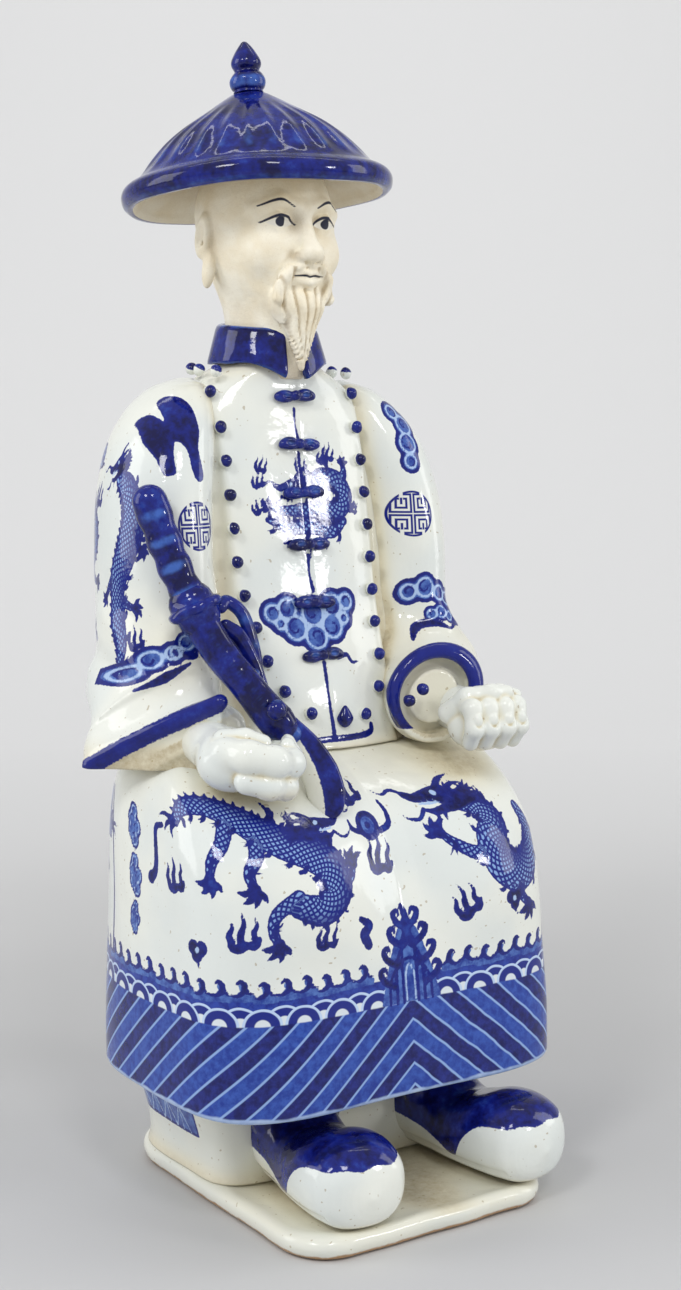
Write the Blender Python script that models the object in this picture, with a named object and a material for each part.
"""Porcelain figurine: a robed figure on a seat, with a wide cone hat, a court necklace and a short sword.

The pieces are the clay parts that a figure like this is luted together from. Metres, +Z up, the figure
faces -Y, and the origin is the middle of the base slab's underside.
"""

import math

import bmesh
import bpy
from mathutils import Matrix, Vector

MM = 0.001

# Driving dimensions, in millimetres.
GAP = 0.3
WALL = 4.0

SLAB_HALF_WIDTH = 39.5
SLAB_FRONT = -48.0
SLAB_BACK = 54.0
SLAB_TOP = 5.5
SLAB_FOOT_TAPER = 2.2
SLAB_FRONT_CORNER = 13.0
SLAB_BACK_CORNER = 22.0
VENT_RADIUS = 6.0
VENT_PLACE = (0.0, 22.0)

HEM = 33.5
SEAT_TOP = 118.2
NECK_BASE = 222.0

COLLAR_CENTRE_Y = 34.0
HEAD_CENTRE = (0.0, 34.5, 256.0)
HAT_RIM_CENTRE = (0.0, 38.5, 268.0)
HAT_RIM_RADIUS = 37.4
HAT_HEIGHT = 27.5
HAT_TILT = math.radians(-4.8)
HAT_LEAN = math.radians(-2.7)
FIGURE_TOP = 310.0

BEAD_RADIUS = 1.6
BEAD_PITCH = 8.9

# Seat sections from the bottom up: level, half width, front, back, middle, back roundness.
SEAT_LEVELS = (
    (SLAB_TOP + GAP, 38.5, -6.0, 50.0, 20.0, 3.5),
    (14.0, 39.2, -6.5, 50.5, 20.0, 3.5),
    (24.0, 42.0, -6.5, 50.5, 20.0, 3.5),
    (34.0, 46.5, -6.0, 50.0, 16.0, 2.6),
    (46.0, 50.2, -4.0, 51.2, 12.0, 2.5),
)
# Plan sections from the bottom up: level, half width, front, back.
SKIRT_LEVELS = (
    (HEM, 56.5, -37.0, 57.0),
    (48.0, 56.5, -36.5, 57.5),
    (66.0, 55.8, -34.8, 58.0),
    (80.0, 55.2, -33.5, 58.0),
    (90.0, 54.8, -31.0, 58.0),
    (98.0, 54.2, -27.5, 58.0),
    (105.0, 53.2, -21.5, 58.0),
    (110.5, 52.0, -14.5, 57.5),
    (115.0, 50.0, -6.5, 57.0),
    (SEAT_TOP, 46.5, 1.0, 56.0),
)
TORSO_LEVELS = (
    (SEAT_TOP + GAP, 40.0, 1.2, 56.0),
    (130.0, 39.0, 3.2, 57.5),
    (143.0, 38.0, 7.0, 58.5),
    (157.0, 37.5, 11.0, 59.0),
    (173.0, 37.0, 14.0, 59.5),
    (187.0, 36.5, 16.5, 59.5),
    (200.0, 34.5, 18.8, 58.0),
    (209.0, 30.0, 20.3, 54.5),
    (216.0, 23.5, 21.5, 49.5),
    (NECK_BASE, 12.8, 21.2, 46.6),
)
SKIRT_MIDDLE = 12.0
TORSO_MIDDLE = 36.0

# Upper sleeve sections, mirrored for the left arm: level, centre x, centre y, half width, half depth.
ARM_LEVELS = (
    (116.0, -40.5, 29.5, 13.0, 20.5),
    (130.0, -38.8, 30.0, 13.5, 21.5),
    (150.0, -38.2, 30.5, 13.5, 22.0),
    (172.0, -38.2, 30.8, 13.5, 22.0),
    (187.0, -37.0, 32.0, 13.5, 21.0),
    (198.0, -34.6, 33.3, 13.3, 19.0),
    (206.0, -31.8, 34.6, 12.0, 16.2),
    (212.0, -28.8, 35.8, 9.6, 12.8),
    (216.0, -26.2, 36.6, 6.0, 8.6),
    (217.6, -24.8, 37.0, 2.4, 3.6),
)

# Forearm sections from the elbow to the cuff's mouth: centre, and the two half axes of each ring.
FOREARM_RIGHT = (
    ((-39.0, 34.0, 136.0), (-10.0, 3.0, -6.0), (0.0, 0.0, 10.0)),
    ((-43.5, 20.0, 131.0), (-13.0, 6.0, -5.0), (0.0, 0.0, 12.0)),
    ((-49.5, 6.0, 127.0), (-13.0, 13.5, -9.5), (0.5, 0.0, 11.2)),
)
FOREARM_LEFT = (
    ((41.0, 32.0, 138.0), (12.0, 0.0, 0.0), (0.0, 0.0, 12.0)),
    ((41.5, 16.0, 134.0), (14.5, 0.0, 0.0), (0.0, 0.0, 13.5)),
    ((34.0, -4.5, 130.0), (16.0, -2.0, 0.0), (0.0, 1.0, 14.0)),
)

# Necklace strands from the collar down, as points (x, z) on the chest.
STRAND_RIGHT = (
    (-22.2, 213.0), (-22.0, 205.0), (-21.5, 185.0), (-21.0, 165.0), (-18.0, 150.0), (-14.5, 136.0),
    (-4.0, 126.0),
)
STRAND_LEFT = (
    (20.2, 213.0), (20.0, 205.0), (20.2, 185.0), (20.0, 165.0), (19.0, 150.0), (18.0, 136.0),
    (10.5, 126.5),
)
SHOULDER_BEADS = ((21.0, 26.0, 219.5), (21.6, 34.0, 220.0), (19.5, 42.0, 220.5))

FROG_LEVELS = (213.0, 200.0, 187.0, 173.0, 157.5, 143.5)
FROG_HALF_WIDTH = 5.2
FROG_HALF_HEIGHT = 2.0
FROG_DEPTH = 1.5

SWORD_GRIP = ((-49.8, 10.4, 185.5), (-47.5, 8.4, 177.0), (-45.2, 6.1, 169.0), (-42.5, 3.8, 161.5))
SWORD_GUARD = (-41.4, 2.6, 158.2)
SWORD_SCABBARD = (
    (-40.6, 1.3, 155.0), (-37.3, -2.7, 147.3), (-32.8, -7.2, 140.0), (-28.8, -10.4, 133.6),
    (-25.6, -13.4, 129.0),
)
SWORD_RADII = (5.0, 5.2, 5.4, 5.6, 5.6, 5.6, 5.6, 5.7, 5.8, 5.6, 4.9, 3.9, 2.9)
SWORD_STUD = (-29.2, -17.3, 133.6)
SWORD_TIP = ((-22.0, -13.0, 127.0), (-17.6, -15.2, 120.0), (-14.6, -18.0, 112.0), (-15.6, -20.8, 107.2))

# Boot sections: place behind the toe's middle, half width, lowest and highest point above the slab.
BOOT_STATIONS = (
    (-15.0, 3.5, 6.0, 13.5), (-13.8, 8.0, 2.5, 17.5), (-10.5, 12.0, 0.6, 20.5), (-5.0, 14.4, 0.0, 22.2),
    (2.0, 15.0, 0.0, 22.6), (9.0, 14.0, 0.0, 22.0), (17.0, 12.4, 0.0, 24.0), (26.0, 11.8, 0.0, 28.0),
    (36.0, 11.6, 0.0, 28.0), (44.0, 9.0, 0.0, 26.0),
)

GLAZE = (0.80, 0.82, 0.78, 1.0)
COBALT = (0.010, 0.014, 0.16, 1.0)
BISQUE = (0.72, 0.64, 0.46, 1.0)


def clear_scene():
    for old in list(bpy.data.objects):
        bpy.data.objects.remove(old, do_unlink=True)


def new_collection(name):
    collection = bpy.data.collections.new(name)
    bpy.context.scene.collection.children.link(collection)
    return collection


def new_material(name, colour, roughness):
    material = bpy.data.materials.new(name)
    material.use_nodes = True
    shader = material.node_tree.nodes["Principled BSDF"]
    shader.inputs["Base Color"].default_value = colour
    shader.inputs["Roughness"].default_value = roughness
    return material


def add_object(name, bm, collection, material=None):
    """Makes one named object from a bmesh whose points are in millimetres."""
    bmesh.ops.recalc_face_normals(bm, faces=bm.faces)
    bmesh.ops.scale(bm, vec=(MM, MM, MM), verts=bm.verts)
    mesh = bpy.data.meshes.new(name)
    bm.to_mesh(mesh)
    bm.free()
    mesh.shade_smooth()
    mesh.set_sharp_from_angle(angle=math.radians(40))
    obj = bpy.data.objects.new(name, mesh)
    collection.objects.link(obj)
    if material:
        mesh.materials.append(material)
    else:
        obj.hide_render = True
        obj.display_type = "WIRE"
    return obj


def cut(obj, *cutters):
    for cutter in cutters:
        modifier = obj.modifiers.new("clear_of_" + cutter.name, "BOOLEAN")
        modifier.operation = "DIFFERENCE"
        modifier.solver = "EXACT"
        modifier.object = cutter


def join(obj, *others):
    for other in others:
        modifier = obj.modifiers.new("with_" + other.name, "BOOLEAN")
        modifier.operation = "UNION"
        modifier.solver = "EXACT"
        modifier.object = other


def loft(rings):
    """A closed solid through rings of equally many points, capped at the first and the last ring."""
    bm = bmesh.new()
    rows = [[bm.verts.new(point) for point in ring] for ring in rings]
    count = len(rows[0])
    for lower, upper in zip(rows, rows[1:]):
        for i in range(count):
            j = (i + 1) % count
            bm.faces.new((lower[i], lower[j], upper[j], upper[i]))
    bm.faces.new(rows[0][::-1])
    bm.faces.new(rows[-1])
    return bm


def even(points, count):
    """The closed polyline's points spread evenly along its length."""
    loop = [Vector(point) for point in points]
    loop.append(loop[0])
    lengths = [0.0]
    for a, b in zip(loop, loop[1:]):
        lengths.append(lengths[-1] + (b - a).length)
    spread = []
    k = 0
    for i in range(count):
        target = lengths[-1] * i / count
        while lengths[k + 1] < target:
            k += 1
        part = (target - lengths[k]) / (lengths[k + 1] - lengths[k])
        spread.append(loop[k].lerp(loop[k + 1], part))
    return spread


def signed_power(value, power):
    return math.copysign(abs(value) ** power, value)


def plan_ring(level, half_width, front, back, middle, powers, count, grow=0.0):
    """A rounded plan section: squarer in front and rounder behind, or the other way, by its two powers."""
    fine = []
    steps = 8 * count
    for i in range(steps):
        angle = 2 * math.pi * i / steps
        sine = math.sin(angle)
        power = 2 / (powers[0] if sine < 0 else powers[1])
        depth = middle - front if sine < 0 else back - middle
        x = (half_width + grow) * signed_power(math.cos(angle), power)
        y = middle + (depth + grow) * signed_power(sine, power)
        fine.append((x, y, level))
    return even(fine, count)


def level_rings(levels, middle, powers, count, grow=0.0):
    return [plan_ring(*row, middle, powers, count, grow) for row in levels]


def lengthened(levels, below, above):
    """The same levels with the end sections carried on below and above."""
    low, high = levels[0], levels[-1]
    return ((low[0] - below, *low[1:]), *levels, (high[0] + above, *high[1:]))


def shell(levels, middle, powers, count, wall, floor=0.0):
    """An outer skin down to its open foot, then the inner skin back up to a closed top."""
    outer = level_rings(levels, middle, powers, count)
    inner = level_rings(levels[:-1], middle, powers, count, grow=-wall)
    for ring in inner[-1:]:
        for point in ring:
            point.z -= floor
    return loft(outer[::-1] + inner)


def ellipse_ring(centre, across, up, count):
    c, u, v = Vector(centre), Vector(across), Vector(up)
    steps = [2 * math.pi * i / count for i in range(count)]
    return [c + u * math.cos(a) + v * math.sin(a) for a in steps]


def shrunk(axis, amount):
    vector = Vector(axis)
    return vector * (1 - amount / vector.length)


def smooth_path(points, pieces):
    """A Catmull-Rom curve through the points."""
    knots = [Vector(point) for point in points]
    knots = [2 * knots[0] - knots[1]] + knots + [2 * knots[-1] - knots[-2]]
    path = []
    for p0, p1, p2, p3 in zip(knots, knots[1:], knots[2:], knots[3:]):
        for i in range(pieces):
            t = i / pieces
            path.append(
                0.5 * (2 * p1 + (p2 - p0) * t + (2 * p0 - 5 * p1 + 4 * p2 - p3) * t**2
                       + (3 * p1 - p0 - 3 * p2 + p3) * t**3)
            )
    path.append(knots[-2].copy())
    return path


def swept(path, radii, count, flat=1.0, side=(0.0, -1.0, 0.0)):
    """A solid along a path, with an oval section whose thickness towards `side` is `flat` of its width."""
    rings = []
    for i, point in enumerate(path):
        along = (path[min(i + 1, len(path) - 1)] - path[max(i - 1, 0)]).normalized()
        across = along.cross(Vector(side)).normalized()
        out = across.cross(along).normalized()
        rings.append(ellipse_ring(point, across * radii[i], out * radii[i] * flat, count))
    return loft(rings)


def ball(bm, centre, radii, segments=8, rings=6, turn=None):
    """Adds an ellipsoid to a bmesh."""
    made = bmesh.ops.create_uvsphere(bm, u_segments=segments, v_segments=rings, radius=1.0)
    place = Matrix.Translation(centre) @ (turn or Matrix()) @ Matrix.Diagonal((*radii, 1.0))
    bmesh.ops.transform(bm, matrix=place, verts=made["verts"])


def ball_object(name, centre, radii, collection, material=None, segments=8, rings=6, turn=None):
    bm = bmesh.new()
    ball(bm, centre, radii, segments, rings, turn)
    return add_object(name, bm, collection, material)


def table_value(levels, level, column):
    """One column of a level table, read between its rows."""
    for low, high in zip(levels, levels[1:]):
        if level <= high[0]:
            part = (level - low[0]) / (high[0] - low[0])
            return low[column] + (high[column] - low[column]) * part
    return levels[-1][column]


def chest_y(x, level):
    """Where the jacket's front lies at a place across and a height."""
    half_width = table_value(TORSO_LEVELS, level, 1)
    front = table_value(TORSO_LEVELS, level, 2)
    inside = max(0.0, 1 - abs(x / half_width) ** TORSO_POWERS[0])
    return TORSO_MIDDLE - (TORSO_MIDDLE - front) * inside ** (1 / TORSO_POWERS[0])


PALM = (10.8, 8.2, 8.2)
WRIST_RADII = (6.4, 5.6)
SKIRT_POWERS = (5.0, 2.5)
TORSO_POWERS = (2.5, 2.3)
SEAT_FRONT_POWER = 6.0
BODY_COUNT = 32


def slab_ring(level, inset):
    """A rectangle with round corners, larger ones behind."""
    ring = []
    for side_x, side_y, start in ((1, 1, 0), (-1, 1, 90), (-1, -1, 180), (1, -1, 270)):
        corner = SLAB_BACK_CORNER if side_y > 0 else SLAB_FRONT_CORNER
        edge = SLAB_BACK if side_y > 0 else SLAB_FRONT
        x, y = side_x * (SLAB_HALF_WIDTH - corner), edge - side_y * corner
        for i in range(9):
            angle = math.radians(start + 90 * i / 8)
            reach = corner - inset
            ring.append(Vector((x + reach * math.cos(angle), y + reach * math.sin(angle), level)))
    return ring


def make_base(parts, cutters, bisque):
    """The slab narrows to its foot, and a vent hole runs through it into the seat."""
    levels = ((0.0, SLAB_FOOT_TAPER), (2.0, 0.6), (SLAB_TOP - 1.2, 0.0), (SLAB_TOP, 0.9))
    slab = add_object("base_slab", loft([slab_ring(*level) for level in levels]), parts, bisque)
    bm = bmesh.new()
    bmesh.ops.create_cone(
        bm, cap_ends=True, segments=20, radius1=VENT_RADIUS, radius2=VENT_RADIUS, depth=4 * SLAB_TOP,
        matrix=Matrix.Translation((*VENT_PLACE, SLAB_TOP / 2)),
    )
    cut(slab, add_object("vent_hole", bm, cutters))


def seat_rings(levels, grow):
    return [
        plan_ring(level, half_width, front, back, middle, (SEAT_FRONT_POWER, power), BODY_COUNT, grow)
        for level, half_width, front, back, middle, power in levels
    ]


def make_seat(parts, cutters, glaze):
    """A hollow block, open at its foot, whose top spreads to meet the inside of the skirt."""
    body = loft(seat_rings(SEAT_LEVELS, 0.0)[::-1] + seat_rings(SEAT_LEVELS[:-1], -WALL))
    add_object("seat_block", body, parts, glaze)
    return add_object("seat_clearance", loft(seat_rings(SEAT_LEVELS, GAP)), cutters)


def make_skirt(parts, cutters, glaze):
    body = shell(SKIRT_LEVELS, SKIRT_MIDDLE, SKIRT_POWERS, BODY_COUNT, WALL + 1.8, floor=2.0)
    add_object("robe_skirt", body, parts, glaze)
    grown = level_rings(lengthened(SKIRT_LEVELS, 0.0, GAP)[1:], SKIRT_MIDDLE, SKIRT_POWERS, BODY_COUNT, GAP)
    return add_object("skirt_clearance", loft(grown), cutters)


def make_torso(parts, cutters, glaze):
    body = shell(TORSO_LEVELS, TORSO_MIDDLE, TORSO_POWERS, BODY_COUNT, WALL)
    add_object("jacket_torso", body, parts, glaze)
    grown = level_rings(lengthened(TORSO_LEVELS, 4.0, GAP), TORSO_MIDDLE, TORSO_POWERS, BODY_COUNT, 1.2 * GAP)
    return add_object("torso_clearance", loft(grown), cutters)


def make_sleeve(name, side, forearm, parts, cutters, glaze, clearances):
    """An upper sleeve and a forearm that flares to an open cuff, hollow from the cuff's mouth."""
    rings = []
    for level, x, y, half_width, half_depth in ARM_LEVELS:
        centre = (x * side, y, level)
        rings.append(ellipse_ring(centre, (half_width, 0, 0), (0, half_depth, 0), 20))
    sleeve = add_object(name, loft(rings), parts, glaze)
    bell = loft([ellipse_ring(*ring, 20) for ring in forearm])
    join(sleeve, add_object(name + "_forearm", bell, cutters))
    (c0, u0, v0), (c1, u1, v1), (c2, u2, v2) = forearm
    out = (Vector(c2) - Vector(c1)).normalized()
    hollow = [
        ellipse_ring(Vector(c0) + 8 * out, shrunk(u0, 2 * WALL), shrunk(v0, 2 * WALL), 16),
        ellipse_ring(c1, shrunk(u1, WALL), shrunk(v1, WALL), 16),
        ellipse_ring(c2, shrunk(u2, WALL - 1), shrunk(v2, WALL - 1), 16),
        ellipse_ring(Vector(c2) + 4 * out, shrunk(u2, WALL - 1), shrunk(v2, WALL - 1), 16),
    ]
    mouth = add_object(name + "_mouth", loft(hollow), cutters)
    cut(sleeve, *clearances, mouth)


def make_collar(parts, cobalt):
    """A standing band that is open in front, lower there than over the shoulders."""
    bottom, top, sections = 16.6, 13.8, 22
    thickness = 2.3
    half_gap = math.radians(13)
    rings = []
    for i in range(sections + 1):
        angle = half_gap + (2 * math.pi - 2 * half_gap) * i / sections
        out = Vector((math.sin(angle), -math.cos(angle), 0))
        centre = Vector((0, COLLAR_CENTRE_Y, 0))
        low = NECK_BASE + GAP - 5.0 * max(0.0, math.cos(angle)) ** 8
        high = NECK_BASE + 10.2 + 1.2 * math.cos(angle - math.pi)
        corners = ((bottom, low), (top, high), (top - thickness, high), (bottom - thickness, low))
        rings.append([centre + out * radius + Vector((0, 0, z)) for radius, z in corners])
    return add_object("collar", loft(rings), parts, cobalt)


def make_head(parts, cutters, bisque):
    """Skull, jaw, neck, ears, nose and pointed beard, joined into one clay piece."""
    x, y, z = HEAD_CENTRE
    profile = (
        (NECK_BASE + 0.6, 10.4, 10.4, y - 0.5),
        (NECK_BASE + 10.5, 10.2, 10.2, y - 0.5),
        (z - 19.5, 11.5, 13.0, y - 2.5),
        (z - 14.0, 14.6, 17.2, y - 2.0),
        (z - 5.0, 17.2, 20.0, y - 1.0),
        (z + 5.0, 18.2, 21.0, y),
        (z + 14.0, 17.8, 20.5, y + 1.0),
        (z + 20.0, 15.0, 17.5, y + 2.0),
        (z + 24.5, 9.5, 11.5, y + 3.0),
        (z + 26.0, 3.8, 4.8, y + 3.5),
    )
    rings = [ellipse_ring((0, centre, level), (w, 0, 0), (0, d, 0), 20) for level, w, d, centre in profile]
    head = add_object("head", loft(rings), parts, bisque)
    extras = [ball_object("nose_bulk", (0, y - 20.0, z - 3.0), (3.2, 4.0, 5.5), cutters)]
    for side, label in ((-1, "right"), (1, "left")):
        lobe = (side * 18.2, y + 1.5, z - 3.0)
        extras.append(ball_object("ear_bulk_" + label, lobe, (2.2, 4.2, 8.0), cutters))
    beard_path = [Vector((0, y + dy, z + dz)) for dy, dz in ((-13.5, -17.0), (-17.6, -25.5), (-16.8, -33.0))]
    beard = swept(beard_path, (7.0, 5.0, 0.8), 12, flat=0.45, side=(0, -1, 0.2))
    extras.append(add_object("beard_bulk", beard, cutters))
    join(head, *extras)


def hat_place():
    turn = Matrix.Rotation(HAT_LEAN, 4, "Y") @ Matrix.Rotation(HAT_TILT, 4, "X")
    return Matrix.Translation(HAT_RIM_CENTRE) @ turn


def turned(profile, count, place):
    """A solid of revolution from radius and height pairs that start and end on or near the axis."""
    rings = []
    for radius, height in profile:
        ring = ellipse_ring((0, 0, height), (radius, 0, 0), (0, radius, 0), count)
        rings.append([place @ point for point in ring])
    return loft(rings)


def make_hat(parts, cutters, cobalt):
    """A cone shell with a rolled rim, and a two-bulb finial on its crown."""
    rim, top = HAT_RIM_RADIUS, HAT_HEIGHT
    profile = (
        (4.6, top), (14.0, top - 5.5), (24.0, top - 12.5), (32.0, 5.8), (rim - 0.8, 2.4),
        (rim, 0.6), (rim - 0.8, -1.6), (rim - 3.6, -1.8), (31.0, 2.0), (21.0, 9.0), (11.0, 16.5), (3.0, 19.6),
    )
    add_object("hat", turned(profile, 36, hat_place()), parts, cobalt)
    finial_height = FIGURE_TOP - HAT_RIM_CENTRE[2]
    base = top + GAP
    bulbs = (
        (4.4, base), (5.0, base + 0.8), (4.2, base + 2.0), (3.4, base + 3.0), (4.4, base + 4.4),
        (3.6, base + 6.0), (2.4, base + 6.9), (3.0, base + 8.2), (2.5, base + 9.8), (1.2, base + 12.0),
        (0.3, finial_height),
    )
    add_object("hat_finial", turned(bulbs, 14, hat_place()), parts, cobalt)


def make_fist(name, centre, turn, parts, cutters, glaze, wrist, skirt):
    """A closed hand: a palm, four curled fingers, a thumb across them and the wrist.

    It returns the room that the sleeve leaves for it.
    """
    place = Matrix.Translation(centre) @ turn
    hand = ball_object(name, place.translation, PALM, parts, glaze, 12, 8, turn)
    extras = []
    for i in range(4):
        spot = place @ Vector((-7.8 + 5.2 * i, -5.0, -0.4 - 0.5 * abs(i - 1.2)))
        bulk = ball_object(f"{name}_finger_{i + 1}", spot, (2.95, 5.8, 7.6 - 0.5 * i), cutters, turn=turn)
        extras.append(bulk)
    thumb = place @ Vector((-2.0, -3.0, 8.0))
    extras.append(ball_object(name + "_thumb", thumb, (7.6, 3.0, 2.9), cutters, turn=turn))
    path = [Vector(point) for point in wrist]
    extras.append(add_object(name + "_wrist", swept(path, WRIST_RADII, 12), cutters))
    join(hand, *extras)
    cut(hand, skirt)
    wider = [radius + 2 * GAP for radius in WRIST_RADII]
    beyond = path[0] + (path[0] - path[-1]) * 0.5
    palm_room = [radius + 2 * GAP for radius in PALM]
    return (
        add_object(name + "_wrist_room", swept([beyond, *path], (wider[0], *wider), 12), cutters),
        ball_object(name + "_palm_room", place.translation, palm_room, cutters, turn=turn),
    )


def sword_clearance(cutters):
    """The room that the sleeve under it leaves for the sword."""
    bars = []
    for name, points, radii in (
        ("grip_clearance", SWORD_GRIP, (4.75 + GAP,) * 10),
        ("scabbard_clearance", SWORD_SCABBARD, tuple(radius + GAP for radius in SWORD_RADII)),
    ):
        bars.append(add_object(name, swept(smooth_path(points, 3), radii, 12), cutters))
    return bars


def make_sword(parts, cobalt):
    grip = smooth_path(SWORD_GRIP, 3)
    swell = [4.3 + 0.45 * math.cos(2 * math.pi * 4 * i / (len(grip) - 1)) for i in range(len(grip))]
    add_object("sword_grip", swept(grip, swell, 12), parts, cobalt)
    scabbard = swept(smooth_path(SWORD_SCABBARD, 3), SWORD_RADII, 12, flat=0.85)
    add_object("sword_scabbard", scabbard, parts, cobalt)
    ball_object("sword_stud", SWORD_STUD, (2.6, 2.0, 2.6), parts, cobalt)
    axis = (Vector(SWORD_SCABBARD[0]) - Vector(SWORD_GRIP[-1])).normalized()
    centre = Vector(SWORD_GUARD)
    across = axis.cross(Vector((0, -1, 0))).normalized()
    out = across.cross(axis)
    profile = ((4.0, -1.9), (6.6, -1.2), (7.4, 0.0), (6.6, 1.2), (4.0, 1.9))
    rings = [ellipse_ring(centre + axis * z, across * r, out * r * 0.8, 16) for r, z in profile]
    add_object("sword_guard", loft(rings), parts, cobalt)
    tip = smooth_path(SWORD_TIP, 3)
    blade = [3.4, 4.2, 4.8, 5.1, 5.2, 5.1, 4.8, 4.2, 3.2, 0.8]
    add_object("sword_tip", swept(tip, blade, 10, flat=0.5), parts, cobalt)


def make_loop(parts, cobalt):
    """The knuckle guard: a bent bar from the cross guard towards the hand."""
    points = ((-32.2, 2.0, 158.5), (-28.2, 1.0, 154.0), (-26.0, -0.5, 147.0), (-26.2, -2.4, 143.0))
    path = smooth_path(points, 3)
    add_object("sword_loop", swept(path, [1.7] * len(path), 8), parts, cobalt)


def make_boot(name, toe, heel, parts, cobalt, seat):
    """A puffed toe and a shaft that rises under the hem and ends against the seat."""
    toe_point, heel_point = Vector(toe), Vector(heel)
    floor = SLAB_TOP + GAP
    along = (toe_point - heel_point).normalized()
    across = Vector((along.y, -along.x, 0))
    rings = []
    for back, half_width, low, high in BOOT_STATIONS:
        middle = toe_point - along * back
        centre = Vector((middle.x, middle.y, floor + (low + high) / 2))
        rings.append(ellipse_ring(centre, across * half_width, (0, 0, (high - low) / 2), 14))
    cut(add_object(name, loft(rings), parts, cobalt), seat)


def strand_points(strand):
    """Bead places evenly along one side of the necklace, from the collar down."""
    path = smooth_path([(x, 0.0, z) for x, z in strand], 12)
    spots, walked, wanted = [path[0]], 0.0, BEAD_PITCH
    for a, b in zip(path, path[1:]):
        step = (b - a).length
        while walked + step >= wanted:
            spots.append(a.lerp(b, (wanted - walked) / step))
            wanted += BEAD_PITCH
        walked += step
    return spots


def make_necklace(parts, glaze, cobalt):
    stand_off = BEAD_RADIUS + GAP + 0.15
    for label, strand in (("right", STRAND_RIGHT), ("left", STRAND_LEFT)):
        for i, spot in enumerate(strand_points(strand)):
            x, level = spot.x, spot.z
            step = 0.5
            slope_x = (chest_y(x + step, level) - chest_y(x - step, level)) / (2 * step)
            slope_z = (chest_y(x, level + step) - chest_y(x, level - step)) / (2 * step)
            out = Vector((slope_x, -1.0, slope_z)).normalized()
            centre = Vector((x, chest_y(x, level), level)) + out * stand_off
            ball_object(f"bead_{label}_{i + 1:02d}", centre, (BEAD_RADIUS,) * 3, parts, glaze, 8, 5)
        side = -1 if label == "right" else 1
        for i, (x, y, z) in enumerate(SHOULDER_BEADS):
            name = f"bead_{label}_shoulder_{i + 1}"
            ball_object(name, (side * x, y, z), (BEAD_RADIUS,) * 3, parts, glaze, 8, 5)
    level = 127.0
    drop = (3.8, chest_y(3.8, level) - 1.6 - GAP, level)
    ball_object("pendant", drop, (1.8, 1.4, 2.4), parts, cobalt)


def make_frogs(parts, cobalt):
    for i, level in enumerate(FROG_LEVELS):
        front = chest_y(0.0, level)
        behind = chest_y(FROG_HALF_WIDTH, level)
        centre = (0.0, min(front, behind) - GAP - FROG_DEPTH, level)
        slope = (chest_y(0, level + 1) - chest_y(0, level - 1)) / 2
        turn = Matrix.Rotation(-math.atan(slope), 4, "X")
        size = (FROG_HALF_WIDTH, FROG_DEPTH, FROG_HALF_HEIGHT)
        ball_object(f"frog_{i + 1}", centre, size, parts, cobalt, 12, 6, turn)


def main():
    clear_scene()
    parts = new_collection("porcelain_figurine")
    cutters = new_collection("cutters")
    glaze = new_material("glazed_white", GLAZE, 0.12)
    cobalt = new_material("cobalt_glaze", COBALT, 0.10)
    bisque = new_material("bisque", BISQUE, 0.75)

    make_base(parts, cutters, bisque)
    seat = make_seat(parts, cutters, glaze)
    skirt = make_skirt(parts, cutters, glaze)
    torso = make_torso(parts, cutters, glaze)
    left_turn = Matrix.Rotation(math.radians(-8), 4, "Z")
    right_turn = Matrix.Rotation(math.radians(24), 4, "Z") @ Matrix.Rotation(math.radians(8), 4, "Y")
    left_room = make_fist(
        "hand_left", (37.0, -16.5, 125.5), left_turn, parts, cutters, glaze,
        ((37.0, -12.0, 126.5), (36.0, 4.0, 129.0)), skirt,
    )
    right_room = make_fist(
        "hand_right", (-36.5, -14.5, 120.5), right_turn, parts, cutters, glaze,
        ((-39.0, -11.0, 122.0), (-47.0, 5.0, 128.0)), skirt,
    )
    right_clearances = (torso, skirt, *right_room, *sword_clearance(cutters))
    make_sleeve("sleeve_right", 1, FOREARM_RIGHT, parts, cutters, glaze, right_clearances)
    make_sleeve("sleeve_left", -1, FOREARM_LEFT, parts, cutters, glaze, (torso, skirt, *left_room))
    make_collar(parts, cobalt)
    make_head(parts, cutters, bisque)
    make_hat(parts, cutters, cobalt)
    make_sword(parts, cobalt)
    make_loop(parts, cobalt)
    make_boot("boot_right", (-21.0, -35.6), (-18.0, 6.0), parts, cobalt, seat)
    make_boot("boot_left", (32.0, -35.4), (25.5, 4.0), parts, cobalt, seat)
    make_necklace(parts, glaze, cobalt)
    make_frogs(parts, cobalt)
    for i, spot in enumerate(((19.5, -7.0, 131.0), (23.0, -8.5, 134.0))):
        ball_object(f"held_bead_{i + 1}", spot, (1.6, 1.6, 1.6), parts, cobalt)


main()
